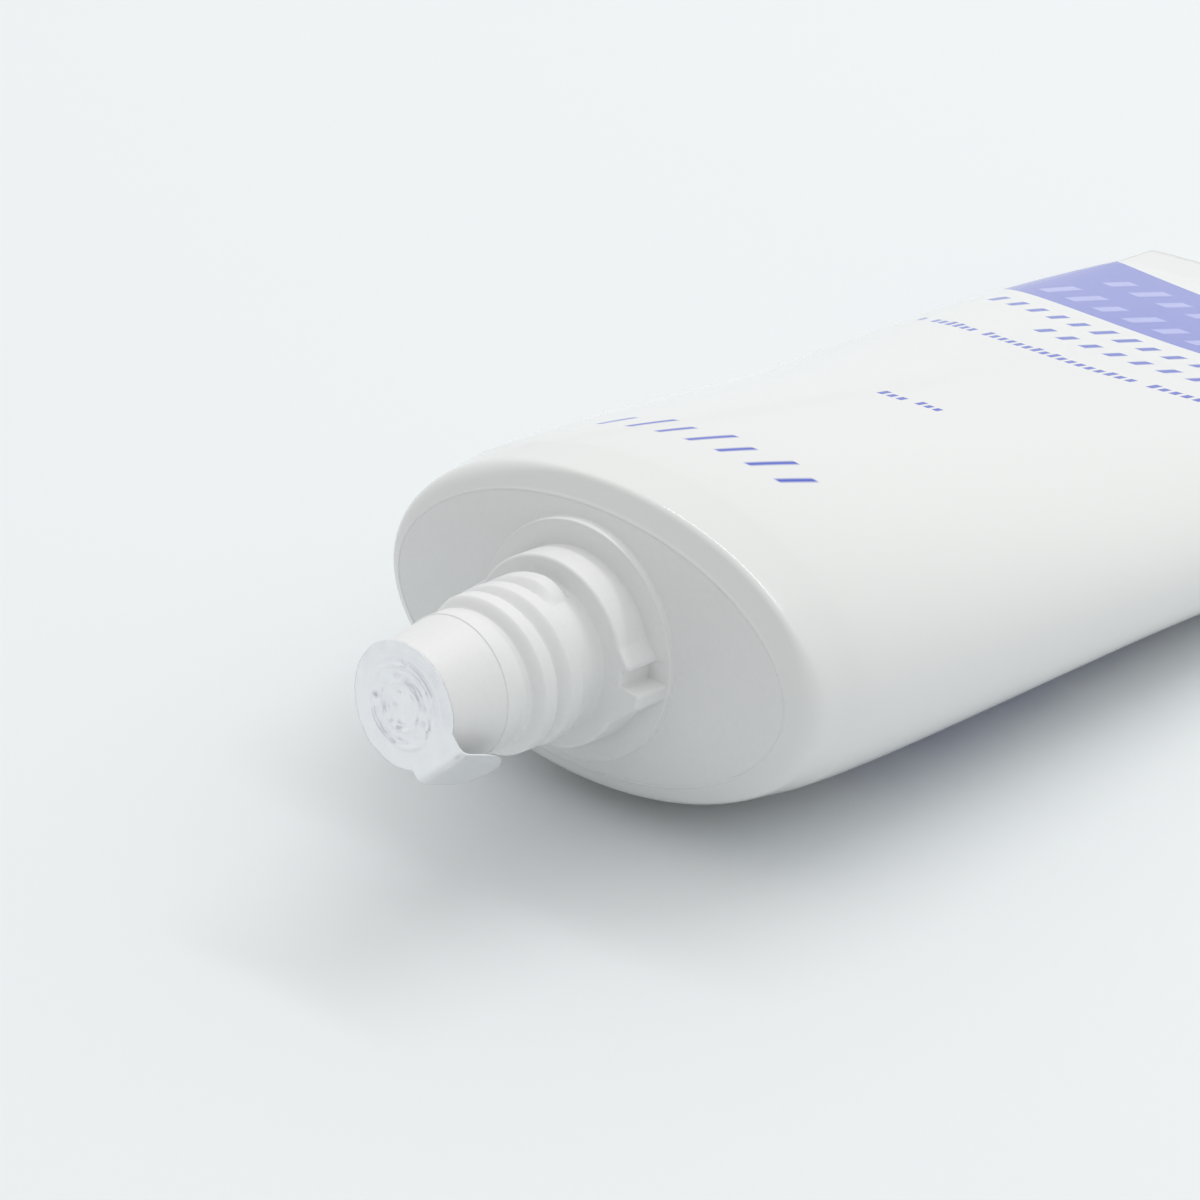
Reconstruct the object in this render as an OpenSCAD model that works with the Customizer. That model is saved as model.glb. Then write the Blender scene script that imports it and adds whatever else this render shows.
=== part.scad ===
// A squeezable cream tube lying on its back: an oval sleeve crimped flat at the
// tail, a moulded head with a threaded neck, and a foil seal with a pull tab.
// The tube is drawn along Y with the nozzle towards -Y, then laid on the floor.

/* [Sleeve] */
// Diameter of the round sleeve before it is shaped into an oval
sleeve_d = 34.5; // [28:0.5:45]
// Short axis of the oval at the shoulder
oval_t = 25.7; // [21:0.1:30]
// Length of the sleeve from the shoulder to the start of the crimp
body_l = 105; // [70:1:150]
// Fullness of the body: 1 is a straight wedge, more is a rounder belly
swell = 1.2; // [1:0.01:1.7]
// Length of the flat crimp at the tail
crimp_l = 5; // [3:0.5:10]
// Thickness of the crimp
crimp_t = 0.9; // [0.6:0.1:1.6]

/* [Rolled rim] */
// How far the rim rolls back along the side wall
rim_back = 26; // [8:1:30]
// Fullness of the roll: 2 is a quarter ellipse, more is squarer
rim_full = 3.5; // [2:0.1:4]
// Distance of the seam from the side wall, where the sleeve meets the head
seam_in = 3.1; // [2:0.1:3.2]
// How far the seam lies behind the foot of the ring disc
seam_y = 0.5; // [0:0.1:1]
// Gap of the seam between the sleeve and the head
seam_gap = 0.08; // [0.04:0.02:0.2]

/* [Head] */
// Thickness of the oval plate that sits in the sleeve
plate_t = 1.4; // [0.8:0.1:3]
// Diameter of the low ring disc round the neck
disc_d = 17.6; // [16.5:0.1:18.2]
// Height of the ring disc above the plate
disc_h = 0.52; // [0.2:0.02:1]
// Diameter of the collar
collar_d = 14; // [12.5:0.1:15]
// Height of the collar above the ring disc
collar_h = 3; // [2:0.1:5]
// Diameter of the neck where it leaves the collar
root_d = 10.6; // [9:0.1:11.2]
// Diameter of the plain band in front of the thread
band_d = 10.3; // [9:0.1:11.2]
// Length of the plain band
band_l = 1.5; // [1:0.1:3]
// Length of the neck from the ring disc to the front of the band
neck_l = 12.3; // [11:0.1:16]
// Diameter of the nose at its tip
tip_d = 8.7; // [8:0.1:9.2]
// Length of the tapered nose
nose_l = 4.8; // [3:0.1:8]

/* [Thread] */
// Rise of the thread in one turn
pitch = 2.5; // [2:0.1:3]
// Height of the thread above the neck
thread_h = 0.65; // [0.4:0.05:0.9]
// Number of turns
turns = 2.2; // [1.5:0.1:2.4]
// Angle round the neck at which the thread starts
thread_start = 64; // [0:2:180]
// Distance of the first crest in front of the collar
thread_lift = 1.05; // [0.9:0.05:1.3]

/* [Cap stops] */
// Gap between the small stop and the large tooth
stop_gap = 1.3; // [0.8:0.1:2]
// How far the small stop stands out from the collar
stop_out = 0.35; // [0.2:0.05:0.8]
// Height of the small stop round the collar
stop_w = 1.5; // [1:0.1:2.5]
// Clearance of the large tooth from the edge of the ring disc
tooth_inset = 0.12; // [0.05:0.01:0.4]
// Length of the ramp that runs up to the large tooth
ramp_l = 3; // [2:0.1:4.5]

/* [Foil seal] */
// Thickness of the foil with its sealing layer
foil_t = 0.14; // [0.08:0.02:0.3]
// Radius of the foil disc
foil_r = 4.55; // [4.4:0.05:5]
// Radius of the large ridge that the nozzle's mouth presses into the foil
ridge_r = 2.9; // [2.4:0.1:3.4]
// Height of the ridges in the foil
ridge_h = 0.16; // [0.08:0.02:0.3]
// Width of the pull tab
tab_w = 4.2; // [3:0.1:5]
// Length of the pull tab along its curl
tab_l = 5.3; // [4:0.1:8]
// Radius at which the tab curls back
tab_curl = 2; // [1.5:0.1:3]
// Direction of the tab, as an angle below the wide axis
tab_dir = 38; // [0:2:90]

/* [Hidden] */

plastic_white = [0.90, 0.90, 0.91];
satin_white = [0.86, 0.87, 0.87];
foil_silver = [0.80, 0.81, 0.84];

$fn = 96;
around = 80;
girth = PI * sleeve_d;
crimp_end = body_l + crimp_l;
neck_z = disc_h + collar_h;
nose_z = disc_h + neck_l;
band_z = nose_z - band_l;
tip_z = nose_z + nose_l;
foil_z = tip_z + foil_t;

// The rolled rim is a quarter of a squared ellipse. It would meet the head a little
// further in than the seam.
rim_over = 0.2;
rim_in = seam_in + rim_over;
seam_angle = asin(pow(1 - seam_in / rim_in, rim_full / 2));
function rim_share(v) = 1 - pow(v, 2 / rim_full);
seam_back = rim_back * rim_share(cos(seam_angle));
rim_end = seam_y + rim_back - seam_back;

// The floor under the lying tube runs from the belly at the rim to the crimp.
function half_t(y) =
    y >= body_l ? crimp_t / 2
    : crimp_t / 2 + (oval_t - crimp_t) / 2 * (1 - pow(max(y, 0) / body_l, swell));
lie_angle = atan((half_t(rim_end) - crimp_t / 2) / (crimp_end - rim_end));
function floor_at(y) = -half_t(rim_end) + (y - rim_end) * tan(lie_angle);
lift = -floor_at(0) * cos(lie_angle);

// The girth of the sleeve stays about the same, so it widens as it gets flatter.
function girth_of(a, b) = PI * (3 * (a + b) - sqrt((3 * a + b) * (a + 3 * b)));
function solve_w(b, low, high, steps) =
    let (mid = (low + high) / 2)
    steps == 0 ? mid
    : girth_of(mid, b) < girth ? solve_w(b, mid, high, steps - 1)
    : solve_w(b, low, mid, steps - 1);
function half_w(y) = solve_w(half_t(y), girth / 8, girth / 4, 16);

// Sections start as ellipses and turn by and by into the flat strip of the crimp.
strip_start = 0.35 * body_l;
strip_power = 3;
function squareness(y) =
    let (s = max(0, min(1, (y - strip_start) / (body_l - strip_start))))
    1 / (1 + (strip_power - 1) * s * s);
function signed_pow(v, e) = sign(v) * pow(abs(v), e);
function section_point(t, a, b, e) = [a * signed_pow(cos(t), e), b * signed_pow(sin(t), e)];

// A point of the section at y, moved in from the wall along its normal.
function inset_point(t, y, inset) =
    let (a = half_w(y), b = half_t(y), e = squareness(y))
    let (p = section_point(t, a, b, e), n = [cos(t) / a, sin(t) / b])
    p - inset * n / norm(n);
function ring_at(y, inset, place) =
    [for (i = [0 : around - 1])
        let (p = inset_point(360 * i / around, place, inset))
        [p.x, y, max(p.y, floor_at(y))]];

// Rim rings are given by the angle of the quarter ellipse.
rim_steps = 13;
function rim_ring(q) =
    let (y = seam_y + rim_back * rim_share(cos(q)) - seam_back)
    ring_at(y, rim_in * rim_share(sin(q)), y);

body_steps = 14;
rings = concat(
    [ring_at(plate_t, seam_in, seam_y)],
    [for (i = [0 : rim_steps]) rim_ring(seam_angle + (90 - seam_angle) * i / rim_steps)],
    [for (i = [1 : body_steps])
        let (y = rim_end + (body_l - rim_end) * i / body_steps) ring_at(y, 0, y)],
    [ring_at(crimp_end, 0, crimp_end)]
);

// Joins a list of closed rings, each with the same number of points. Seen from
// outside the first ring, the points of every ring run anticlockwise.
module loft(list) {
    n = len(list[0]);
    last = len(list) - 1;
    walls = [for (r = [0 : last - 1], i = [0 : n - 1])
        let (a = r * n + i, b = r * n + (i + 1) % n)
        each [[a, b, a + n], [b, b + n, a + n]]];
    start = [for (i = [n - 1 : -1 : 0]) i];
    end = [for (i = [0 : n - 1]) last * n + i];
    polyhedron(points = [for (r = list) each r], faces = concat([start], walls, [end]));
}

// Lays the tube on the floor, with the middle of its length over the origin.
front_y = -foil_z * cos(lie_angle) - (foil_r + ridge_h) * sin(lie_angle);
back_y = crimp_end * cos(lie_angle) + crimp_t / 2 * sin(lie_angle);
module lie() {
    translate([0, -(front_y + back_y) / 2, lift]) rotate([-lie_angle, 0, 0]) children();
}

// Turns a piece drawn along Z so that it stands out of the head towards -Y.
module on_head() {
    lie() rotate([90, 0, 0]) children();
}

// Sleeve: one closed pack, with a shallow seat in front for the head.
module sleeve() {
    color(plastic_white) lie() loft(rings);
}

// Points of a round edge with its centre at c.
function arc(c, r, from, to, steps = 6) =
    [for (i = [0 : steps]) let (q = from + (to - from) * i / steps) c + r * [cos(q), sin(q)]];

edge_r = 0.2;
tip_r = 0.45;
nose_step = 0.1;
module collar() {
    disc_r = disc_d / 2;
    collar_r = collar_d / 2;
    rotate_extrude()
        polygon(concat(
            [[0, -plate_t / 2], [disc_r, -plate_t / 2]],
            arc([disc_r - edge_r, disc_h - edge_r], edge_r, 0, 90),
            arc([collar_r - edge_r, neck_z - edge_r], edge_r, 0, 90),
            [[0, neck_z]]
        ));
}

// Nozzle: plain band, a fine step, the tapered nose and its round tip.
module nozzle() {
    band_r = band_d / 2;
    rotate_extrude()
        polygon(concat(
            [[0, band_z], [band_r, band_z], [band_r, nose_z]],
            [[band_r - nose_step, nose_z + nose_step]],
            arc([tip_d / 2 - tip_r, tip_z - tip_r], tip_r, 0, 90),
            [[0, tip_z]]
        ));
}

// The thread's section in one turn: share of the pitch, and share of the height.
// The middle of its crest lies at crest_share of the pitch.
thread_section = [[0, 0], [0.12, 0.55], [0.24, 1], [0.36, 1], [0.6, 0.5], [0.84, 0]];
crest_share = 0.3;
rows_per_turn = len(thread_section);
steps_per_turn = 36;
fade_angle = 26;
band_lip = 0.05;
first_root = neck_z + thread_lift - crest_share * pitch;
function fade(t) = sin(90 * max(0, min(1, t / fade_angle, (360 * turns - t) / fade_angle)));

// The threaded neck is one helical sheet, closed by a fan of faces at each end.
// It starts inside the collar and the plate, at the fifth row of the section that
// lies two turns below the thread, and is drawn in where it ends inside the nozzle.
turns_below = 2;
first_row = 4;
neck_overlap = 0.6;
last_row = rows_per_turn * (turns_below + ceil((band_z + neck_overlap - first_root) / pitch));
function neck_r(z) =
    let (s = max(0, min(1, (z - neck_z) / (band_z - neck_z))))
    z > band_z + neck_overlap ? tip_d / 2 - tip_r
    : root_d / 2 + s * (band_d - root_d - 2 * band_lip) / 2;
function neck_point(row, a) =
    let (turn = floor(row / rows_per_turn) - turns_below)
    let (share = thread_section[row % rows_per_turn])
    let (z = first_root + pitch * (turn + share[0] + a / 360))
    let (r = neck_r(z) + thread_h * share[1] * fade(360 * turn + a))
    [r * cos(thread_start + a), r * sin(thread_start + a), z];
module threaded_neck() {
    n = steps_per_turn;
    m = rows_per_turn;
    k = last_row - first_row;
    points = [for (row = [first_row : last_row], i = [0 : n - 1]) neck_point(row, 360 * i / n)];
    axis_points = [[0, 0, points[0].z], [0, 0, points[k * n].z]];
    // The end of a row is the start of the row one turn on.
    function id(row, i) = i == n ? (row + m) * n : row * n + i;
    walls = [for (row = [0 : k - 1], i = [0 : n - 1])
        if (i < n - 1 || row < k - m)
            each [[id(row, i), id(row + 1, i), id(row, i + 1)],
                [id(row, i + 1), id(row + 1, i), id(row + 1, i + 1)]]];
    low_edge = concat([for (i = [0 : n - 1]) id(0, i)], [for (row = [m : -1 : 1]) id(row, 0)]);
    high_edge = concat([id(k, 0)], [for (row = [k - m : k]) id(row, n - 1)],
        [for (i = [n - 2 : -1 : 1]) id(k, i)]);
    function fan(edge, tip) =
        [for (j = [0 : len(edge) - 1]) [edge[j], edge[(j + 1) % len(edge)], tip]];
    polyhedron(
        points = concat(points, axis_points),
        faces = concat(walls, fan(low_edge, (k + 1) * n), fan(high_edge, (k + 1) * n + 1))
    );
}

// Two stops and teeth on opposite sides turn the cap one way and hold it. Their
// slopes end a little inside the collar's wall.
tooth_z = -0.5;
tooth_r = 0.3;
tooth_face = 1;
tooth_taper = 0.2;
stop_edge = 0.3;
slope_sink = 0.3;
function slope_end(y) = [sqrt(pow(collar_d / 2 - slope_sink, 2) - y * y), y];
module stops_outline() {
    stop_x = collar_d / 2 + stop_out;
    stop_z = tooth_z + stop_gap;
    tooth_x = disc_d / 2 - tooth_inset;
    polygon([
        [root_d / 2, stop_z], [stop_x, stop_z], [stop_x, stop_z + stop_edge],
        slope_end(stop_z + stop_w), [root_d / 2, stop_z + stop_w]
    ]);
    polygon(concat(
        [[root_d / 2, tooth_z]],
        arc([tooth_x - tooth_r, tooth_z - tooth_r], tooth_r, 90, 0, 4),
        [[tooth_x - tooth_taper, tooth_z - tooth_face]],
        [slope_end(tooth_z - ramp_l), [root_d / 2, tooth_z - ramp_l]]
    ));
}
module cap_stops() {
    for (side = [0, 180])
        rotate([0, 0, side]) translate([0, 0, disc_h / 2])
            linear_extrude(neck_z - disc_h / 2) stops_outline();
}

// The plate is flat round the ring disc and falls back to the seam near its edge.
plate_flat = 0.74;
plate_mid = 0.3;
function plate_ring(z, share) =
    [for (i = [around : -1 : 1])
        let (p = share * inset_point(360 * i / around, seam_y, seam_in + seam_gap))
        [p.x, p.y, z]];
module plate() {
    loft([plate_ring(-plate_t, 1), plate_ring(-seam_y, 1),
        plate_ring(-plate_mid * seam_y, (1 + plate_flat) / 2), plate_ring(0, plate_flat)]);
}

// Head: plate, ring disc, collar, stops, thread and nozzle, moulded as one.
module head() {
    color(satin_white) on_head() {
        plate();
        collar();
        cap_stops();
        threaded_neck();
        nozzle();
    }
}

// The foil's edge is an uneven eight-sided round.
function foil_edge(a) = foil_r * (1 + 0.022 * cos(8 * a + 60) + 0.014 * cos(3 * a - 20));
ridge_w = 0.5;
inner_ridge = 0.6;
module foil_ridge(r) {
    rotate_extrude() translate([r, 0])
        polygon([[-ridge_w / 2, -foil_t / 2], [-ridge_w / 4, ridge_h], [ridge_w / 4, ridge_h],
            [ridge_w / 2, -foil_t / 2]]);
}

// The tab leaves the disc, curls back and ends in a half round.
tab_root = foil_r - 1;
tab_bend = 85;
tab_steps = 14;
tab_across = 6;
function tab_half_w(s) =
    let (over = max(0, s - (tab_l - tab_w / 2)) / (tab_w / 2))
    tab_w / 2 * sqrt(max(0.004, 1 - over * over));
function tab_place(s, lift) =
    let (bend = tab_curl * tab_bend * PI / 180, q = min(s, bend) / tab_curl * 180 / PI)
    let (run = max(0, s - bend), r = tab_curl + lift)
    [foil_r + r * sin(q) + run * cos(tab_bend), -tab_curl + r * cos(q) - run * sin(tab_bend)];
function tab_ring(s) =
    let (w = tab_half_w(s), low = tab_place(s, 0), high = tab_place(s, foil_t))
    [[low.x, -w, low.y], [high.x, -w, high.y], [high.x, w, high.y], [low.x, w, low.y]];
module pull_tab() {
    start = [[tab_root, -tab_w / 2, 0], [tab_root, -tab_w / 2, foil_t],
        [tab_root, tab_w / 2, foil_t], [tab_root, tab_w / 2, 0]];
    rotate([0, 0, -tab_dir])
        loft(concat([start], [for (i = [0 : tab_steps]) tab_ring(tab_l * i / tab_steps)]));
}

// Foil seal: disc, pressed ridges and pull tab, all one sheet on the nozzle.
module foil_seal() {
    color(foil_silver) on_head() translate([0, 0, tip_z]) {
        linear_extrude(foil_t)
            polygon([for (i = [0 : 71]) foil_edge(5 * i) * [cos(5 * i), sin(5 * i)]]);
        translate([0, 0, foil_t]) {
            foil_ridge(ridge_r);
            foil_ridge(ridge_r * inner_ridge);
        }
        pull_tab();
    }
}

sleeve();
head();
foil_seal();
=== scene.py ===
import math
import bmesh
import bpy
from mathutils import Euler, Matrix, Vector, noise


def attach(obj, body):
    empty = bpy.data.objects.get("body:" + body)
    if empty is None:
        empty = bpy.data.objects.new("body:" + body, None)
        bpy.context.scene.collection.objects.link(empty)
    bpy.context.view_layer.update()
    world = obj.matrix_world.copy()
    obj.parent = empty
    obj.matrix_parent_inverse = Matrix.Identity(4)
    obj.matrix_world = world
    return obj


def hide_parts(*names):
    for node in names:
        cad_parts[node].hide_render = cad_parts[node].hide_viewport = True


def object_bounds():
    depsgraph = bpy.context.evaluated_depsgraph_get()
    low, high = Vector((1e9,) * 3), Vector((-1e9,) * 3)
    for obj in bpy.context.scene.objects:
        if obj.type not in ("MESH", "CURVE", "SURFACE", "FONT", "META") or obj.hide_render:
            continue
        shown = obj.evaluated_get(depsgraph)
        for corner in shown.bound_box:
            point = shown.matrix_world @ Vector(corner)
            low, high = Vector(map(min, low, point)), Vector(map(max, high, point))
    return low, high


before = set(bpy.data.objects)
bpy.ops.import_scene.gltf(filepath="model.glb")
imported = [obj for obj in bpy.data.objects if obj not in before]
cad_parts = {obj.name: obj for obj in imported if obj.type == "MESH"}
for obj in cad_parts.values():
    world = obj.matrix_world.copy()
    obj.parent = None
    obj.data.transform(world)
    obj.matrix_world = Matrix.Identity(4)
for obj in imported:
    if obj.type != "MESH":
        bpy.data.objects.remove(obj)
cad_low, cad_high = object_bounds()

# Sizes are in millimetres, in the tube's own frame: x across, y along the tube from
# the shoulder to the tail, z up. The mesh code turns them into metres in the row frame.
MM = 0.001

# Sleeve
SLEEVE_D = 34.5
OVAL_T = 25.7
BODY_L = 105.0
SWELL = 1.2
CRIMP_L = 5.0
CRIMP_T = 0.9
RIM_BACK = 26.0
RIM_FULL = 3.5
RIM_OVER = 0.2
SEAM_IN = 3.1
SEAM_Y = 0.5
SEAM_GAP = 0.002
PLATE_T = 1.4
PLATE_FLAT = 0.74
PLATE_FALL = 1.74
STRIP_START = 0.35 * BODY_L
STRIP_POWER = 3

# Head
DISC_R = 8.8
DISC_H = 0.52
COLLAR_R = 7.0
COLLAR_H = 3.0
ROOT_R = 5.3
BAND_R = 5.15
BAND_L = 1.5
NECK_L = 12.3
TIP_R = 4.35
NOSE_L = 4.8
NOSE_STEP = 0.07
PITCH = 2.5
THREAD_H = 0.7
TURNS = 2.2
THREAD_START = 64
THREAD_LIFT = 1.05
FADE_ANGLE = 26
# The thread's own profile, in shares of its pitch from the collar's side
THREAD_FOOT = 0.3
THREAD_RISE = 0.12
THREAD_FALL = 0.3
THREAD_FALL_END = 0.84
THREAD_ROUND = 0.6
GROOVE = 0.15
GROOVE_W = 0.08

# Foil
FOIL_T = 0.14
FOIL_R = 4.55
RIDGE_R = 2.9
RIDGE_H = 0.16
INNER_RIDGE_R = 0.6 * RIDGE_R
TAB_W = 5.1
TAB_OFF = 0.45
TAB_L = 4.9
TAB_CURL = 1.0
TAB_DIR = 47
TAB_BEND = 72

GIRTH = math.pi * SLEEVE_D
CRIMP_END = BODY_L + CRIMP_L
NECK_Z = DISC_H + COLLAR_H
NOSE_Z = DISC_H + NECK_L
BAND_Z = NOSE_Z - BAND_L
TIP_Z = NOSE_Z + NOSE_L


def sin(degrees):
    return math.sin(math.radians(degrees))


def cos(degrees):
    return math.cos(math.radians(degrees))


def smooth(x):
    x = max(0.0, min(1.0, x))
    return x * x * (3 - 2 * x)


def mix(a, b, t):
    return a + (b - a) * t


# Form of the sleeve
RIM_IN = SEAM_IN + RIM_OVER


def rim_share(v):
    return 1 - v ** (2 / RIM_FULL)


def rim_angle(inset):
    return math.degrees(math.asin((1 - inset / RIM_IN) ** (RIM_FULL / 2)))


SEAM_BACK = RIM_BACK * rim_share(cos(rim_angle(SEAM_IN)))
RIM_END = SEAM_Y + RIM_BACK - SEAM_BACK


def half_t(y):
    if y >= BODY_L:
        return CRIMP_T / 2
    return CRIMP_T / 2 + (OVAL_T - CRIMP_T) / 2 * (1 - (max(y, 0) / BODY_L) ** SWELL)


LIE_SLOPE = (half_t(RIM_END) - CRIMP_T / 2) / (CRIMP_END - RIM_END)
LIE = math.atan(LIE_SLOPE)


def floor_at(y):
    return -half_t(RIM_END) + (y - RIM_END) * LIE_SLOPE


def girth_of(a, b):
    return math.pi * (3 * (a + b) - math.sqrt((3 * a + b) * (a + 3 * b)))


def half_w(y):
    b = half_t(y)
    low, high = GIRTH / 8, GIRTH / 4
    for _ in range(24):
        middle = (low + high) / 2
        if girth_of(middle, b) < GIRTH:
            low = middle
        else:
            high = middle
    return middle


def squareness(y):
    s = max(0.0, min(1.0, (y - STRIP_START) / (BODY_L - STRIP_START)))
    return 1 / (1 + (STRIP_POWER - 1) * s * s)


def signed_pow(v, e):
    return math.copysign(abs(v) ** e, v)


def section(y, inset, place, count, clip=True):
    """Points of the section at y, moved in from the wall, anticlockwise from the top."""
    a, b, e = half_w(y), half_t(y), squareness(y)
    points = []
    for i in range(count):
        t = 90 + 360 * i / count
        x, z = a * signed_pow(cos(t), e), b * signed_pow(sin(t), e)
        nx, nz = cos(t) / a, sin(t) / b
        size = math.hypot(nx, nz)
        x, z = x - inset * nx / size, z - inset * nz / size
        points.append((x, place, max(z, floor_at(place)) if clip else z))
    return points


def evenly(points, count):
    """The closed ring resampled at equal steps, from its first point."""
    n = len(points)
    run = [0.0]
    for i in range(n):
        run.append(run[-1] + math.dist(points[i], points[(i + 1) % n]))
    out, k = [], 0
    for j in range(count):
        want = run[-1] * j / count
        while run[k + 1] < want:
            k += 1
        t = (want - run[k]) / max(run[k + 1] - run[k], 1e-9)
        p, q = points[k % n], points[(k + 1) % n]
        out.append(tuple(mix(p[c], q[c], t) for c in range(3)))
    return out


# The tube's frame in the row frame
LIFT = -floor_at(0) * math.cos(LIE)
FRONT_Y = -(TIP_Z + FOIL_T) * math.cos(LIE) - (FOIL_R + RIDGE_H) * math.sin(LIE)
BACK_Y = CRIMP_END * math.cos(LIE) + CRIMP_T / 2 * math.sin(LIE)
TUBE = Matrix.Translation((0, -(FRONT_Y + BACK_Y) / 2 * MM, LIFT * MM)) @ Matrix.Rotation(-LIE, 4, "X")
HEAD = TUBE @ Matrix.Rotation(math.radians(90), 4, "X")


def mesh_piece(name, points, faces, place, replaced=(), closed=True):
    """A smooth mesh from points in millimetres, riding on the part's one body."""
    mesh = bpy.data.meshes.new(name)
    mesh.from_pydata([place @ (Vector(p) * MM) for p in points], [], faces)
    mesh.validate()
    if closed:
        work = bmesh.new()
        work.from_mesh(mesh)
        bmesh.ops.recalc_face_normals(work, faces=work.faces)
        work.to_mesh(mesh)
        work.free()
    mesh.polygons.foreach_set("use_smooth", [True] * len(mesh.polygons))
    piece = bpy.data.objects.new(name, mesh)
    bpy.context.scene.collection.objects.link(piece)
    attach(piece, "root")
    if replaced:
        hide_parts(*replaced)
    return piece


def grid_faces(rows, count):
    return [
        (r * count + i, r * count + (i + 1) % count, (r + 1) * count + (i + 1) % count, (r + 1) * count + i)
        for r in range(rows - 1) for i in range(count)
    ]


# Sleeve: rolled rim, body and crimp, with equal steps round every section
SLEEVE_AROUND = 300
FINE_AROUND = 4 * SLEEVE_AROUND
FLAT_ROWS = 8
CORNER_ROWS = 10
RIM_ROWS = 48
RIM_EASE = 1.5
BODY_ROWS = 90
CRIMP_ROWS = 6
# The rim's face starts this far behind and outside the seam
FACE_BACK = 0.06
FACE_OUT = 0.2
# The rim's corner, the inset where it meets the long roll, and how far it is rounded
CORNER_Y = 1.5
CORNER_IN = 1.25
CORNER_MEETS = 0.5
CORNER_TIGHT = 0.35
CORNER_SOFT = 1.2
# Degrees round the section, from +x over the top, where the corner turns tight and soft
TIGHT_FROM = 8
TIGHT_RISE = 26
TIGHT_TO = 128
TIGHT_FALL = 34
# The sleeve's edge at the seam: distance out from the seam, and height of its bead
EDGE_BEAD = [(0, -0.12), (0, 0), (0.004, 0.004), (0.04, 0.018), (0.1, 0.022), (0.15, 0.01)]


def rim_place(q):
    """Distance along the tube and inset of the rolled rim at one angle of its ellipse."""
    return SEAM_Y + RIM_BACK * rim_share(cos(q)) - SEAM_BACK, RIM_IN * rim_share(sin(q))


def rim_profile(reach):
    """The rim from the seam: a nearly flat face, a corner rounded over reach, then the long roll."""
    start = Vector((SEAM_Y + FACE_BACK, SEAM_IN - FACE_OUT))
    corner = Vector((CORNER_Y, CORNER_IN))
    first = rim_angle(CORNER_MEETS)
    meets = Vector(rim_place(first))
    before = corner + (start - corner).normalized() * reach
    after = corner + (meets - corner).normalized() * reach
    path = [start.lerp(before, i / FLAT_ROWS) for i in range(FLAT_ROWS)]
    for i in range(CORNER_ROWS + 1):
        t = i / CORNER_ROWS
        path.append(before.lerp(corner, t).lerp(corner.lerp(after, t), t))
    path += [after.lerp(meets, i / FLAT_ROWS) for i in range(1, FLAT_ROWS)]
    for i in range(RIM_ROWS + 1):
        path.append(Vector(rim_place(first + (90 - first) * (i / RIM_ROWS) ** RIM_EASE)))
    return path


def rim_ring(tight_place, soft_place):
    """A ring of the rim, whose corner is tight from the +x side to just past the top."""
    tight, soft = [section(y, inset, y, FINE_AROUND) for y, inset in (tight_place, soft_place)]
    ring = []
    for i, (p, q) in enumerate(zip(tight, soft)):
        turn = (90 + 360 * i / FINE_AROUND + 180) % 360 - 180
        share = smooth((turn - TIGHT_FROM) / TIGHT_RISE) * smooth((TIGHT_TO - turn) / TIGHT_FALL)
        ring.append(tuple(mix(b, a, share) for a, b in zip(p, q)))
    return ring


def sleeve_rows():
    """Each row as its ring of points and its distance along the tube."""
    rows = [(section(SEAM_Y, SEAM_IN, PLATE_T, FINE_AROUND), 0.0)]
    for out, rise in EDGE_BEAD:
        rows.append((section(SEAM_Y, SEAM_IN - out, SEAM_Y - rise, FINE_AROUND), SEAM_Y))
    for tight_place, soft_place in zip(rim_profile(CORNER_TIGHT), rim_profile(CORNER_SOFT)):
        rows.append((rim_ring(tight_place, soft_place), tight_place[0]))
    for start, end, count in ((RIM_END, BODY_L, BODY_ROWS), (BODY_L, CRIMP_END, CRIMP_ROWS)):
        for i in range(1, count + 1):
            y = mix(start, end, i / count)
            rows.append((section(y, 0, y, FINE_AROUND), y))
    return [(evenly(ring, SLEEVE_AROUND), y) for ring, y in rows]


# The printed rows bow towards the tail at the sides: by BOW at the distance BOW_AT round
# the wall from the middle. The bow grows from BOW_FROM on, over BOW_RUN along the tube.
BOW = 6.0
BOW_AT = 23.0
BOW_POWER = 1.6
BOW_FROM = 15
BOW_RUN = 45


def bow(u, v):
    side = min(abs(u), GIRTH / 2 - abs(u)) / BOW_AT
    return BOW * side ** BOW_POWER * smooth((v - BOW_FROM) / BOW_RUN)


def make_sleeve():
    rows = sleeve_rows()
    count = SLEEVE_AROUND
    points = [p for ring, _ in rows for p in ring]
    faces = grid_faces(len(rows), count)
    faces.append(tuple(range(count - 1, -1, -1)))
    faces.append(tuple((len(rows) - 1) * count + i for i in range(count)))
    piece = mesh_piece("tube_sleeve", points, faces, TUBE, ["sleeve"])
    place = piece.data.attributes.new("print_place", "FLOAT2", "CORNER")
    for face in piece.data.polygons:
        columns = [piece.data.loops[k].vertex_index % count for k in face.loop_indices]
        if max(columns) - min(columns) > count / 2:
            columns = [c + count if c < count / 2 else c for c in columns]
        # The first column is at the top, and columns run towards -x.
        whole = 1 if sum(columns) / len(columns) > count / 2 else 0
        for k, column in zip(face.loop_indices, columns):
            u = -(column / count - whole) * GIRTH
            v = rows[piece.data.loops[k].vertex_index // count][1]
            place.data[k].vector = (u, v - bow(u, v))
    return piece


# Head: one grid of rings from the back of the plate to the tip of the nozzle. Every
# ring has the same directions, which follow the collar's outline with its stops.
TOOTH_Z = -0.5
TOOTH_FACE = 1.0
TOOTH_TAPER = 0.2
TOOTH_INSET = 0.12
TOOTH_X = DISC_R - TOOTH_INSET
RAMP_L = 3.0
STOP_GAP = 1.3
STOP_Z = TOOTH_Z + STOP_GAP
STOP_OUT = 0.55
STOP_X = COLLAR_R + STOP_OUT
STOP_EDGE = 0.3
STOP_W = 1.5
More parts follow.
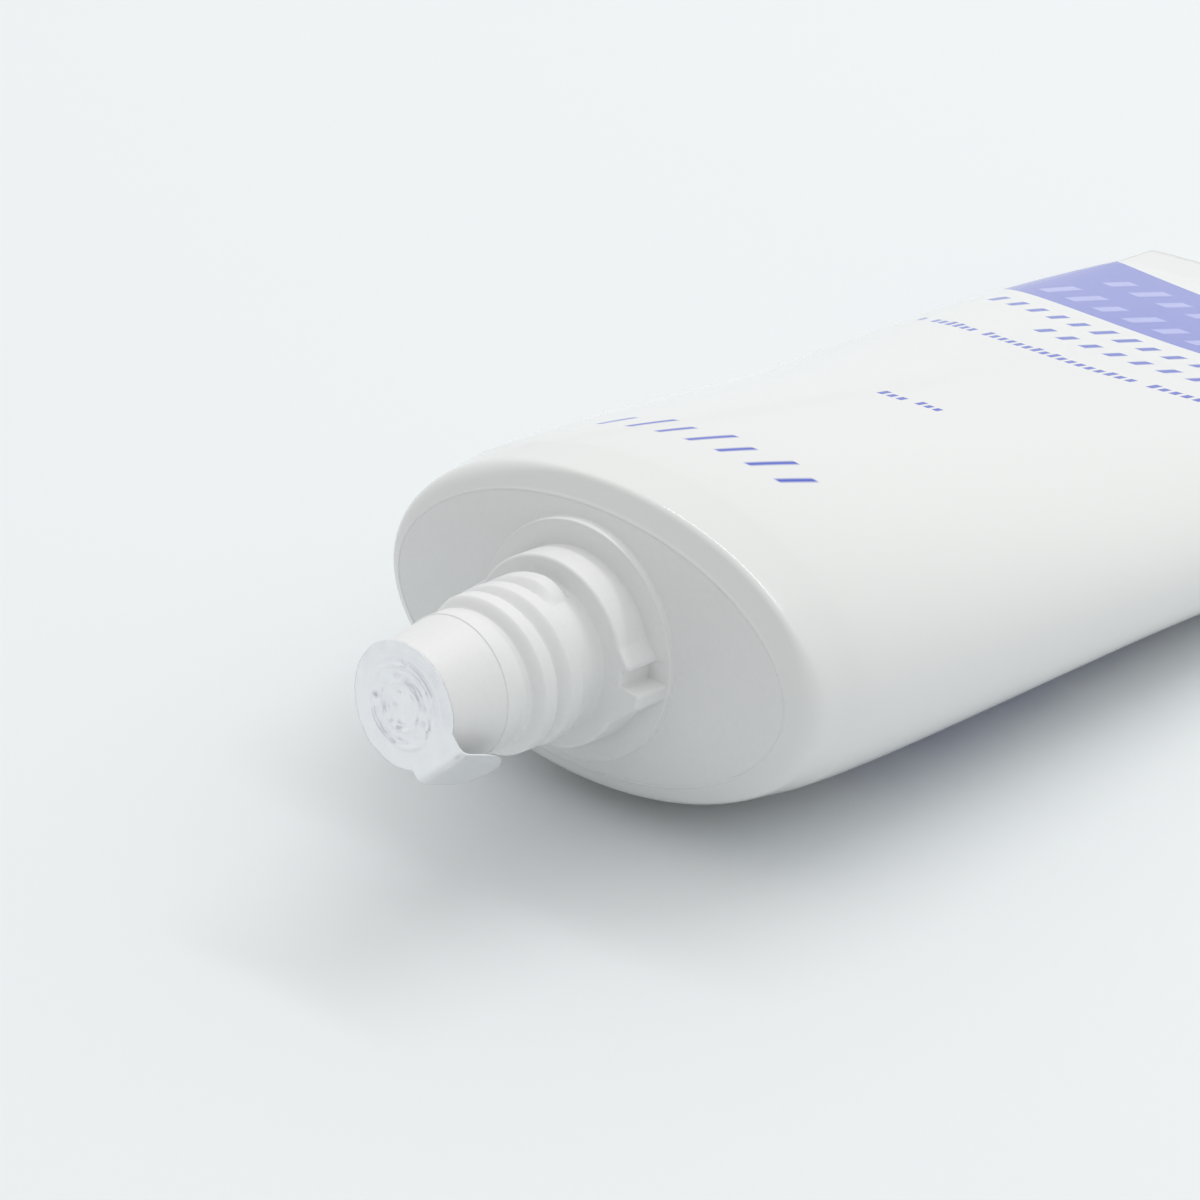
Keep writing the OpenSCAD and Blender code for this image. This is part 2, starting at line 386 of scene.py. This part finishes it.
# Radii of the outline's corners, from the foot of the ramp to the end of the small stop
RAMP_FOOT = 0.5
TOOTH_BACK = 0.35
TOOTH_TIP = 0.22
NOTCH_FOOT = 0.16
STOP_FOOT = 0.12
STOP_CORNER = 0.14
STOP_BACK = 0.2
STOP_END = 1.2
ARC_STEP = 1.5
ARC_LEAD = 3
OUTLINE_GAP = 0.15
# Each point lies at least this many degrees past the one before.
LEAST_TURN = 0.02


def on_collar(z):
    return (math.sqrt(COLLAR_R ** 2 - z * z), z)


def rounded(corners, steps=5):
    """A path through the corners (x, y, radius), each turned by an arc of its radius."""
    path = []
    for k, (x, y, radius) in enumerate(corners):
        here = Vector((x, y))
        if radius == 0 or k in (0, len(corners) - 1):
            path.append(here)
            continue
        back = (Vector(corners[k - 1][:2]) - here).normalized()
        ahead = (Vector(corners[k + 1][:2]) - here).normalized()
        half = back.angle(ahead) / 2
        centre = here + (back + ahead).normalized() * radius / math.sin(half)
        start = here + back * radius / math.tan(half) - centre
        end = here + ahead * radius / math.tan(half) - centre
        sweep = start.angle_signed(end)
        for i in range(steps + 1):
            turn = -sweep * i / steps
            path.append(centre + Matrix.Rotation(turn, 2) @ start)
    return path


def spread(path, gap):
    """The path with extra points, so that none lie further apart than gap."""
    out = [path[0]]
    for p in path[1:]:
        n = max(1, math.ceil((p - out[-1]).length / gap))
        start = out[-1]
        out += [start.lerp(p, i / n) for i in range(1, n + 1)]
    return out


def collar_outline():
    """Points of the collar with its stops, and the direction of each one."""
    ramp = on_collar(TOOTH_Z - RAMP_L)
    notch = on_collar(TOOTH_Z)
    ledge = on_collar(STOP_Z)
    slope = on_collar(STOP_Z + STOP_W)
    angle = [math.degrees(math.atan2(p[1], p[0])) for p in (ramp, notch, ledge, slope)]
    ends = [angle[0] - ARC_LEAD, angle[1] + ARC_LEAD, angle[2] - ARC_LEAD, angle[3] + ARC_LEAD]
    on_arc = [(COLLAR_R * cos(a), COLLAR_R * sin(a), 0) for a in ends]
    # Both faces that meet the cap are radial.
    tip_z = TOOTH_Z * TOOTH_X / notch[0]
    edge_z = STOP_Z * STOP_X / ledge[0]
    tooth = rounded([
        on_arc[0],
        (*ramp, RAMP_FOOT),
        (TOOTH_X - TOOTH_TAPER, tip_z - TOOTH_FACE, TOOTH_BACK),
        (TOOTH_X, tip_z, TOOTH_TIP),
        (*notch, NOTCH_FOOT),
        on_arc[1],
    ])
    stop = rounded([
        on_arc[2],
        (*ledge, STOP_FOOT),
        (STOP_X, edge_z, STOP_CORNER),
        (STOP_X, edge_z + STOP_EDGE, STOP_BACK),
        (*slope, STOP_END),
        on_arc[3],
    ])
    parts = [(spread(tooth, OUTLINE_GAP), ends[0], ends[1]), (spread(stop, OUTLINE_GAP), ends[2], ends[3])]
    points = []
    for side in (0, 180):
        spin = Matrix.Rotation(math.radians(side), 2)
        for k, (path, first, last) in enumerate(parts):
            points += [spin @ p for p in path]
            nearest = parts[1][1] if k == 0 else 180 + parts[0][1]
            n = max(1, math.ceil((nearest - last) / ARC_STEP))
            for i in range(1, n):
                a = side + mix(last, nearest, i / n)
                points.append(Vector((cos(a), sin(a))) * COLLAR_R)
    turns = []
    for p in points:
        a = math.degrees(math.atan2(p.y, p.x))
        if turns:
            a = max(a + 360 * round((turns[-1] - a) / 360), turns[-1] + LEAST_TURN)
        turns.append(a)
    return points, turns


def drawn_in(points, inset):
    return [p * (1 - inset / p.length) for p in points]


def thread(turn, z):
    """How far the thread stands out of the neck, as a share of its height."""
    lowest = NECK_Z + THREAD_LIFT - THREAD_FOOT * PITCH
    a = (turn - THREAD_START) % 360
    phase = (z - lowest) / PITCH - a / 360
    share = phase % 1
    run = 360 * math.floor(phase) + a
    ends = min(1, run / FADE_ANGLE, (360 * TURNS - run) / FADE_ANGLE)
    if ends <= 0:
        return 0
    rise = max(0.0, min(1.0, share / THREAD_RISE, (THREAD_FALL_END - share) / THREAD_FALL))
    ridge = mix(rise, sin(90 * rise), THREAD_ROUND)
    groove = GROOVE * math.exp(-(min(share, 1 - share) / GROOVE_W) ** 2)
    return (ridge - groove) * sin(90 * ends)


# Roundings and steps of the head
BAND_STEP = 0.05
# Rows of the plate's edge: distance in from it, and height
PLATE_EDGE = [
    (0, -PLATE_T),
    (0, -SEAM_Y - 0.12),
    (0, -SEAM_Y - 0.002),
    (0.002, -SEAM_Y),
    (0.006, -SEAM_Y),
]
PLATE_LIP = 0.05
PLATE_ROWS = 8
DISC_APRON = 0.16
DISC_EDGE = 0.1
COLLAR_FOOT = 0.05
COLLAR_EDGE = 0.28
COLLAR_EDGE_ROWS = 6
ROOT_FILLET = 0.35
THREAD_STEP = 0.07
THREAD_CLEAR = 0.06
BAND_CLEAR = 0.1
BAND_SLOPE = 0.04
BAND_EDGE = 0.08
NOSE_FOOT = 0.03
NOSE_ROWS = 12
TIP_EDGE = 0.45


def neck_radius(z):
    s = max(0.0, min(1.0, (z - NECK_Z) / (BAND_Z - NECK_Z)))
    return mix(ROOT_R, BAND_R - BAND_STEP, s)


def arc_rows(r, z, radius, start, end, steps):
    """Radius and height of the points of a round edge."""
    return [(r + radius * cos(mix(start, end, i / steps)), z + radius * sin(mix(start, end, i / steps)))
            for i in range(steps + 1)]


def plate_radii(turns):
    """The plate's oval, met in each direction."""
    fine = section(SEAM_Y, SEAM_IN + SEAM_GAP, 0, 2880, clip=False)
    by_turn = sorted((math.degrees(math.atan2(z, x)) % 360, math.hypot(x, z)) for x, _, z in fine)
    return [min(by_turn, key=lambda pair: abs(pair[0] - turn % 360))[1] for turn in turns]


def plate_z(share):
    return -SEAM_Y * max(0.0, (share - PLATE_FLAT) / (1 - PLATE_FLAT)) ** PLATE_FALL


def make_head():
    outline, turns = collar_outline()
    circle = [Vector((cos(t), sin(t))) for t in turns]
    radii = plate_radii(turns)
    rows = []

    def ring(path, z):
        rows.append([(p.x, p.y, z) for p in path])

    def circles(pairs):
        for r, z in pairs:
            ring([d * r for d in circle], z)

    def plate_rows(inner, share, lift=0.0):
        """A row between the plate's edge and a circle, on the plate."""
        row = []
        for d, full in zip(circle, radii):
            r = mix(full - PLATE_LIP, inner, share)
            row.append((d.x * r, d.y * r, plate_z(r / full) + lift))
        rows.append(row)

    for inset, z in PLATE_EDGE:
        ring([d * (r - inset) for d, r in zip(circle, radii)], z)
    for i in range(PLATE_ROWS + 1):
        plate_rows(DISC_R + DISC_APRON, i / PLATE_ROWS)
    for q in (240, 210, 180):
        plate_rows(DISC_R + DISC_EDGE + DISC_EDGE * cos(q), 1, DISC_EDGE + DISC_EDGE * sin(q))
    circles(arc_rows(DISC_R - DISC_EDGE, DISC_H - DISC_EDGE, DISC_EDGE, 0, 90, 5))
    for z in (DISC_H, DISC_H + COLLAR_FOOT, mix(DISC_H, NECK_Z, 0.5)):
        ring(outline, z)
    for i in range(COLLAR_EDGE_ROWS + 1):
        q = 90 * i / COLLAR_EDGE_ROWS
        ring(drawn_in(outline, COLLAR_EDGE * (1 - cos(q))), NECK_Z - COLLAR_EDGE + COLLAR_EDGE * sin(q))
    circles(arc_rows(ROOT_R + ROOT_FILLET, NECK_Z + ROOT_FILLET, ROOT_FILLET, 270, 180, 5))
    z = NECK_Z + ROOT_FILLET + THREAD_CLEAR
    while z < BAND_Z - BAND_CLEAR:
        neck = neck_radius(z)
        ring([d * (neck + THREAD_H * thread(t, z)) for d, t in zip(circle, turns)], z)
        z += THREAD_STEP
    circles([(neck_radius(BAND_Z), BAND_Z - BAND_SLOPE), (BAND_R, BAND_Z + BAND_SLOPE)])
    circles([(BAND_R, mix(BAND_Z, NOSE_Z, 0.5))])
    circles(arc_rows(BAND_R - BAND_EDGE, NOSE_Z - BAND_EDGE, BAND_EDGE, 0, 80, 4))
    for i in range(NOSE_ROWS):
        t = i / NOSE_ROWS
        circles([(mix(BAND_R - NOSE_STEP, TIP_R, t), mix(NOSE_Z + NOSE_FOOT, TIP_Z - TIP_EDGE, t))])
    circles(arc_rows(TIP_R - TIP_EDGE, TIP_Z - TIP_EDGE, TIP_EDGE, 0, 90, 8))
    circles([(TIP_R * 0.6, TIP_Z), (TIP_R * 0.1, TIP_Z)])
    count = len(circle)
    points = [p for row in rows for p in row]
    faces = grid_faces(len(rows), count)
    faces.append(tuple(range(count - 1, -1, -1)))
    faces.append(tuple((len(rows) - 1) * count + i for i in range(count)))
    return mesh_piece("tube_head", points, faces, HEAD, ["head"])


# Foil: one round sheet with its tab, drawn flat and then pressed, crumpled and curled.
FOIL_AROUND = 420
FOIL_RINGS = 64
# The sheet is drawn with this share of its thickness, so its back is clear of the nozzle.
FOIL_SHOWN = 0.7
# Waves of the cut edge, as share of the radius, waves round it and where they start
EDGE_WAVES = [(0.008, 8, 60), (0.01, 3, -20)]
EDGE_NOISE = 0.07
EDGE_NOISE_SCALE = 7
TAB_REACH = 75
TAB_HINGE = 0.25
# Pressed ridges and fine rings
RIDGE_W = 0.24
RIDGE_CLEAR = 0.6
INNER_RIDGE_SHARE = 0.8
INNER_RIDGE_W = 0.2
FINE_RING_H = 0.011
FINE_RING_GAP = 0.4
# Dents, crumple and the loose edge
DENT = 0.10
DENT_SCALE = 1.3
DENT_R = 2.4
CRUMPLE = 0.012
CRUMPLE_SCALE = 3.7
LOOSE_R = 3.4
LOOSE_DROP = 0.08
LOOSE_WAVE = 0.12
LOOSE_SCALE = 3


def foil_edge(a):
    share = 1
    for size, count, start in EDGE_WAVES:
        share += size * cos(count * a + start)
    return FOIL_R * share


def tab_edge(a):
    """Distance from the middle to the tab's outline in direction a from its axis, or 0."""
    half, length = TAB_W / 2, FOIL_R + TAB_L
    if abs(a) > TAB_REACH:
        return 0
    side = (half + math.copysign(TAB_OFF, a)) / max(abs(sin(a)), 1e-6)
    centre = length - half
    if side * cos(a) > centre:
        along = centre * cos(a) + TAB_OFF * sin(a)
        side = along + math.sqrt(max(0, along * along - centre ** 2 - TAB_OFF ** 2 + half * half))
    return side


def foil_point(share, a):
    """A point of the sheet, at a share of the way to its edge in direction a from the tab's axis."""
    round_edge = Vector((cos(a), sin(a), 0))
    wave = noise.noise(round_edge * EDGE_NOISE_SCALE) * EDGE_NOISE
    edge = max(foil_edge(a - TAB_DIR) + wave, tab_edge(a))
    r = edge * share
    e, f = r * cos(a), r * sin(a)
    spot = Vector((e, f, 0))
    on_nozzle = 1 - smooth((r - TIP_R + RIDGE_CLEAR) / 0.5)
    out = RIDGE_H * math.exp(-((r - RIDGE_R) / RIDGE_W) ** 2) * on_nozzle
    out += INNER_RIDGE_SHARE * RIDGE_H * math.exp(-((r - INNER_RIDGE_R) / INNER_RIDGE_W) ** 2)
    out += FINE_RING_H * sin(r * 360 / FINE_RING_GAP) * smooth((r - 0.8) / 0.5) * smooth((3.9 - r) / 0.4)
    out += DENT * noise.noise(spot * DENT_SCALE) * smooth(1 - (r - DENT_R) / 1.2)
    out += CRUMPLE * noise.noise(spot * CRUMPLE_SCALE + Vector((4, 1, 2)))
    loose = smooth((r - LOOSE_R) / 1.2) * (1 - smooth((e - FOIL_R + 0.3) / 0.8))
    loose_at = Vector((cos(a) * LOOSE_SCALE, sin(a) * LOOSE_SCALE, 7.3))
    out -= loose * (LOOSE_DROP + LOOSE_WAVE * noise.noise(loose_at))
    bend = TAB_CURL * math.radians(TAB_BEND)
    past = e - FOIL_R + TAB_HINGE
    if past > 0:
        q = min(past, bend) / TAB_CURL
        radius = TAB_CURL + out
        run = max(0, past - bend)
        e = FOIL_R - TAB_HINGE + radius * math.sin(q) + run * math.cos(q)
        out = -TAB_CURL + radius * math.cos(q) - run * math.sin(q)
    turn = Matrix.Rotation(math.radians(-TAB_DIR), 2) @ Vector((e, f))
    return (turn.x, turn.y, TIP_Z + FOIL_T + out)


def make_foil():
    points = [foil_point(0, 0)]
    for k in range(1, FOIL_RINGS + 1):
        points += [foil_point(k / FOIL_RINGS, 360 * i / FOIL_AROUND - 180) for i in range(FOIL_AROUND)]
    faces = [(0, 1 + i, 1 + (i + 1) % FOIL_AROUND) for i in range(FOIL_AROUND)]
    faces += [tuple(1 + v for v in reversed(face)) for face in grid_faces(FOIL_RINGS, FOIL_AROUND)]
    piece = mesh_piece("foil_seal_sheet", points, faces, HEAD, ["foil_seal"], closed=False)
    thick = piece.modifiers.new("thickness", "SOLIDIFY")
    thick.thickness = FOIL_SHOWN * FOIL_T * MM
    thick.offset = -1
    return piece


# Materials
def new_material(name, **sockets):
    material = bpy.data.materials.new(name)
    material.use_nodes = True
    shader = material.node_tree.nodes["Principled BSDF"]
    for key, value in sockets.items():
        shader.inputs[key.replace("_", " ")].default_value = value
    return material, material.node_tree, shader


def add(tree, kind, **settings):
    node = tree.nodes.new(kind)
    for key, value in settings.items():
        setattr(node, key, value)
    return node


def feed(tree, socket, value):
    if isinstance(value, bpy.types.NodeSocket):
        tree.links.new(value, socket)
    else:
        socket.default_value = value


def maths(tree, operation, *values, clamp=False):
    node = add(tree, "ShaderNodeMath", operation=operation, use_clamp=clamp)
    for socket, value in zip(node.inputs, values):
        feed(tree, socket, value)
    return node.outputs[0]


def bump(tree, shader, height, distance, strength=1.0):
    node = add(tree, "ShaderNodeBump")
    feed(tree, node.inputs["Height"], height)
    node.inputs["Distance"].default_value = distance * MM
    node.inputs["Strength"].default_value = strength
    tree.links.new(node.outputs["Normal"], shader.inputs["Normal"])


def noise_texture(tree, scale, detail=2.0, rough=0.5):
    place = add(tree, "ShaderNodeTexCoord")
    node = add(tree, "ShaderNodeTexNoise")
    tree.links.new(place.outputs["Object"], node.inputs["Vector"])
    node.inputs["Scale"].default_value = scale
    node.inputs["Detail"].default_value = detail
    node.inputs["Roughness"].default_value = rough
    return node.outputs[0]


def colour_mix(tree, share, a, b):
    node = add(tree, "ShaderNodeMix", data_type="RGBA")
    feed(tree, node.inputs["Factor"], share)
    feed(tree, node.inputs[6], a)
    feed(tree, node.inputs[7], b)
    return node.outputs[2]


WHITE = (0.80, 0.81, 0.805, 1)
BAND_BLUE = (0.125, 0.155, 0.60, 1)
INK_BLUE = (0.045, 0.085, 0.55, 1)
PALE_BLUE = (0.35, 0.38, 0.80, 1)
PLASTIC_DARK = (0.805, 0.81, 0.81, 1)
PLASTIC_LIGHT = (0.845, 0.85, 0.85, 1)
FOIL_DARK = (0.84, 0.85, 0.87, 1)
FOIL_LIGHT = (0.92, 0.925, 0.93, 1)
FLOOR_COLOUR = (0.835, 0.868, 0.888, 1)
# Where the band starts and ends along the tube
BAND_FROM = 77.2
BAND_TO = 96.6


def between(tree, value, low, high, soft=0.05):
    """1 where value lies between low and high, with a soft edge."""
    rise = maths(tree, "DIVIDE", maths(tree, "SUBTRACT", value, low), soft, clamp=True)
    fall = maths(tree, "DIVIDE", maths(tree, "SUBTRACT", high, value), soft, clamp=True)
    return maths(tree, "MULTIPLY", rise, fall)


def printed_lines(tree, u, v, across, along, lines, letter,
                  fill=0.62, gap=0.2, seed=1.0, slant=0.0, bar=(0.1, 0.84)):
    """Lines of small plain blocks, as far across and along as given, with gaps as between words."""
    pitch = (along[1] - along[0]) / lines
    up = maths(tree, "DIVIDE", maths(tree, "SUBTRACT", v, along[0]), pitch)
    line = maths(tree, "FLOOR", up)
    share = maths(tree, "SUBTRACT", up, line)
    lean = maths(tree, "MULTIPLY", maths(tree, "SUBTRACT", share, 0.5), -slant * pitch)
    over = maths(tree, "DIVIDE", maths(tree, "ADD", maths(tree, "SUBTRACT", u, across[0]), lean), letter)
    cell = maths(tree, "FLOOR", over)
    part = maths(tree, "SUBTRACT", over, cell)
    at = add(tree, "ShaderNodeCombineXYZ")
    for socket, value in zip(at.inputs, (cell, line, seed)):
        feed(tree, socket, value)
    dice = add(tree, "ShaderNodeTexWhiteNoise", noise_dimensions="3D")
    tree.links.new(at.outputs[0], dice.inputs["Vector"])
    chance = dice.outputs["Value"]
    tall = maths(tree, "MULTIPLY", maths(tree, "GREATER_THAN", chance, 0.7), 0.25 * fill)
    top = maths(tree, "ADD", tall, 0.5 + 0.37 * fill)
    block = between(tree, part, *bar, 0.12)
    height = between(tree, share, 0.5 - 0.5 * fill, top, 0.06)
    word = maths(tree, "GREATER_THAN", chance, gap)
    area = maths(tree, "MULTIPLY", between(tree, u, *across), between(tree, v, *along))
    drawn = maths(tree, "MULTIPLY", block, height)
    return maths(tree, "MULTIPLY", drawn, maths(tree, "MULTIPLY", word, area))


def ink_rows(tree, u, v, back):
    """The printed rows: slanted strokes, two short words, fine lettering, two titles and the back."""
    title = {"fill": 0.8, "slant": 0.2, "bar": (0.2, 0.66)}
    return [
        printed_lines(tree, u, v, (-10.2, 9.6), (11.2, 15.6), 1, 2.83,
                      fill=0.86, gap=-1, slant=0.35, bar=(0.3, 0.62)),
        printed_lines(tree, u, v, (-3.0, -0.2), (35.9, 37.5), 1, 0.93, fill=0.8, gap=-1, seed=5),
        printed_lines(tree, u, v, (0.5, 2.9), (36.2, 37.6), 1, 0.8, fill=0.8, gap=-1, seed=5),
        printed_lines(tree, u, v, (-21, 24), (60.7, 62.6), 1, 0.95, fill=0.8, gap=0.12, seed=9),
        printed_lines(tree, u, v, (-11.5, 12.5), (66.6, 70.0), 1, 2.6, gap=-1, seed=3, **title),
        printed_lines(tree, u, v, (-22, 23), (71.6, 75.2), 1, 2.6, gap=0.1, seed=4, **title),
        printed_lines(tree, back, v, (-17, 17), (16, 70), 26, 1.1, seed=11),
    ]


def knocked_rows(tree, u, v):
    """The two rows of paler blocks in the band."""
    large = {"fill": 0.8, "gap": 0.1, "slant": 0.2, "bar": (0.2, 0.7)}
    return [
        printed_lines(tree, u, v, (-22, 22), (79.0, 84.2), 1, 3.6, seed=6, **large),
        printed_lines(tree, u, v, (-21, 21), (87.6, 93.0), 1, 3.6, seed=7, **large),
    ]


def joined(tree, masks):
    whole = masks[0]
    for mask in masks[1:]:
        whole = maths(tree, "MAXIMUM", whole, mask)
    return whole


def sleeve_material():
    material, tree, shader = new_material("white_laminate", Roughness=0.1, IOR=1.5)
    place = add(tree, "ShaderNodeAttribute", attribute_name="print_place")
    axes = add(tree, "ShaderNodeSeparateXYZ")
    tree.links.new(place.outputs["Vector"], axes.inputs[0])
    u, v = axes.outputs[0], axes.outputs[1]
    back = maths(tree, "SUBTRACT", maths(tree, "ABSOLUTE", u), GIRTH / 2)
    back = maths(tree, "MULTIPLY", back, maths(tree, "SIGN", u))
    band = between(tree, v, BAND_FROM, BAND_TO, 0.15)
    light = colour_mix(tree, joined(tree, knocked_rows(tree, u, v)), BAND_BLUE, PALE_BLUE)
    colour = colour_mix(tree, band, WHITE, light)
    colour = colour_mix(tree, joined(tree, ink_rows(tree, u, v, back)), colour, INK_BLUE)
    tree.links.new(colour, shader.inputs["Base Color"])
    bump(tree, shader, noise_texture(tree, 130, 2), 0.02, 0.4)
    return material


def head_material():
    material, tree, shader = new_material("moulded_plastic", Roughness=0.42, IOR=1.49)
    grain = noise_texture(tree, 2600, 2)
    tree.links.new(colour_mix(tree, grain, PLASTIC_DARK, PLASTIC_LIGHT), shader.inputs["Base Color"])
    bump(tree, shader, grain, 0.006, 0.5)
    return material


def foil_material():
    material, tree, shader = new_material("foil", Metallic=1.0)
    grain = noise_texture(tree, 900, 4)
    tree.links.new(colour_mix(tree, grain, FOIL_DARK, FOIL_LIGHT), shader.inputs["Base Color"])
    rough = maths(tree, "ADD", maths(tree, "MULTIPLY", noise_texture(tree, 500, 3), 0.2), 0.22)
    tree.links.new(rough, shader.inputs["Roughness"])
    bump(tree, shader, grain, 0.006, 0.4)
    return material


def floor_material():
    material, tree, shader = new_material("floor", Roughness=0.6, IOR=1.3)
    shader.inputs["Base Color"].default_value = FLOOR_COLOUR
    return material


# Light, floor and camera
SKY_COLOUR = (1.0, 1.0, 0.99, 1)
SKY_LEAST = 0.14
SKY_MORE = 1.15
SKY_POWER = 2.0
# Half a unit vector towards the brightest part of the studio, above and behind the tube
SKY_WAY = (0.0, 0.25, 0.433)
BACKDROP = (0.86, 0.88, 0.89, 1)
# A dim zone low in front of the tube, which the foil's slopes mirror
DIM_COLOUR = (0.36, 0.36, 0.44, 1)
DIM_WAY = (-0.25, -0.96, 0.12)
DIM_FROM = 0.94
DIM_FADE = 0.02
LAMP_SIZE = (0.70, 0.05)
LAMP_POWER = 1.15
LAMP_AT = (0.0, 0.40, 0.68)
LAMP_AIM = (0, -0.03, 0.01)
FLOOR_SIZE = 4.0
FLOOR_DROP = 0.00002
CAMERA_AT = (0.16831079, -0.22698172, 0.1443329)
CAMERA_TURN = (62.68291917, 1.42529393, 41.75629823)
LENS = 120
SENSOR = 36


def facing(tree, way, direction):
    """How far the ray's way agrees with a direction, from a dot product."""
    node = add(tree, "ShaderNodeVectorMath", operation="DOT_PRODUCT")
    tree.links.new(way.outputs["Generated"], node.inputs[0])
    node.inputs[1].default_value = direction
    return node.outputs["Value"]


def make_world():
    """Soft light from all round, and a plain backdrop for what is seen or mirrored."""
    world = bpy.data.worlds.new("studio")
    bpy.context.scene.world = world
    world.use_nodes = True
    tree = world.node_tree
    way = add(tree, "ShaderNodeTexCoord")
    sky = tree.nodes["Background"]
    share = maths(tree, "ADD", facing(tree, way, SKY_WAY), 0.5, clamp=True)
    lit = maths(tree, "MULTIPLY", maths(tree, "POWER", share, SKY_POWER), SKY_MORE)
    sky.inputs["Color"].default_value = SKY_COLOUR
    tree.links.new(maths(tree, "ADD", lit, SKY_LEAST), sky.inputs["Strength"])
    seen = add(tree, "ShaderNodeBackground")
    path = add(tree, "ShaderNodeLightPath")
    either = maths(tree, "MAXIMUM", path.outputs["Is Camera Ray"], path.outputs["Is Glossy Ray"])
    either = maths(tree, "MAXIMUM", either, path.outputs["Is Transmission Ray"])
    past = maths(tree, "SUBTRACT", facing(tree, way, Vector(DIM_WAY).normalized()), DIM_FROM)
    dim = maths(tree, "DIVIDE", past, DIM_FADE, clamp=True)
    tree.links.new(colour_mix(tree, dim, BACKDROP, DIM_COLOUR), seen.inputs["Color"])
    blend = add(tree, "ShaderNodeMixShader")
    tree.links.new(either, blend.inputs[0])
    tree.links.new(sky.outputs[0], blend.inputs[1])
    tree.links.new(seen.outputs[0], blend.inputs[2])
    tree.links.new(blend.outputs[0], tree.nodes["World Output"].inputs["Surface"])


def make_lamp():
    lamp = bpy.data.lights.new("strip_softbox", "AREA")
    lamp.shape = "RECTANGLE"
    lamp.size, lamp.size_y = LAMP_SIZE
    lamp.energy = LAMP_POWER
    softbox = bpy.data.objects.new("strip_softbox", lamp)
    softbox.location = LAMP_AT
    softbox.rotation_euler = (Vector(LAMP_AIM) - softbox.location).to_track_quat("-Z", "Y").to_euler()
    bpy.context.scene.collection.objects.link(softbox)


def make_floor():
    r = FLOOR_SIZE
    mesh = bpy.data.meshes.new("floor")
    mesh.from_pydata([(-r, -r, 0), (r, -r, 0), (r, r, 0), (-r, r, 0)], [], [(0, 1, 2, 3)])
    floor = bpy.data.objects.new("floor", mesh)
    floor.location.z = cad_low.z - FLOOR_DROP
    bpy.context.scene.collection.objects.link(floor)
    mesh.materials.append(floor_material())


def make_camera():
    data = bpy.data.cameras.new("camera")
    data.lens = LENS
    data.sensor_width = SENSOR
    camera = bpy.data.objects.new("camera", data)
    camera.location = CAMERA_AT
    camera.rotation_euler = Euler([math.radians(a) for a in CAMERA_TURN], "XYZ")
    bpy.context.scene.collection.objects.link(camera)
    bpy.context.scene.camera = camera


make_camera()
sleeve = make_sleeve()
head = make_head()
foil = make_foil()
sleeve.data.materials.append(sleeve_material())
head.data.materials.append(head_material())
foil.data.materials.append(foil_material())
make_floor()
make_world()
make_lamp()
bpy.context.scene.view_settings.view_transform = "Standard"
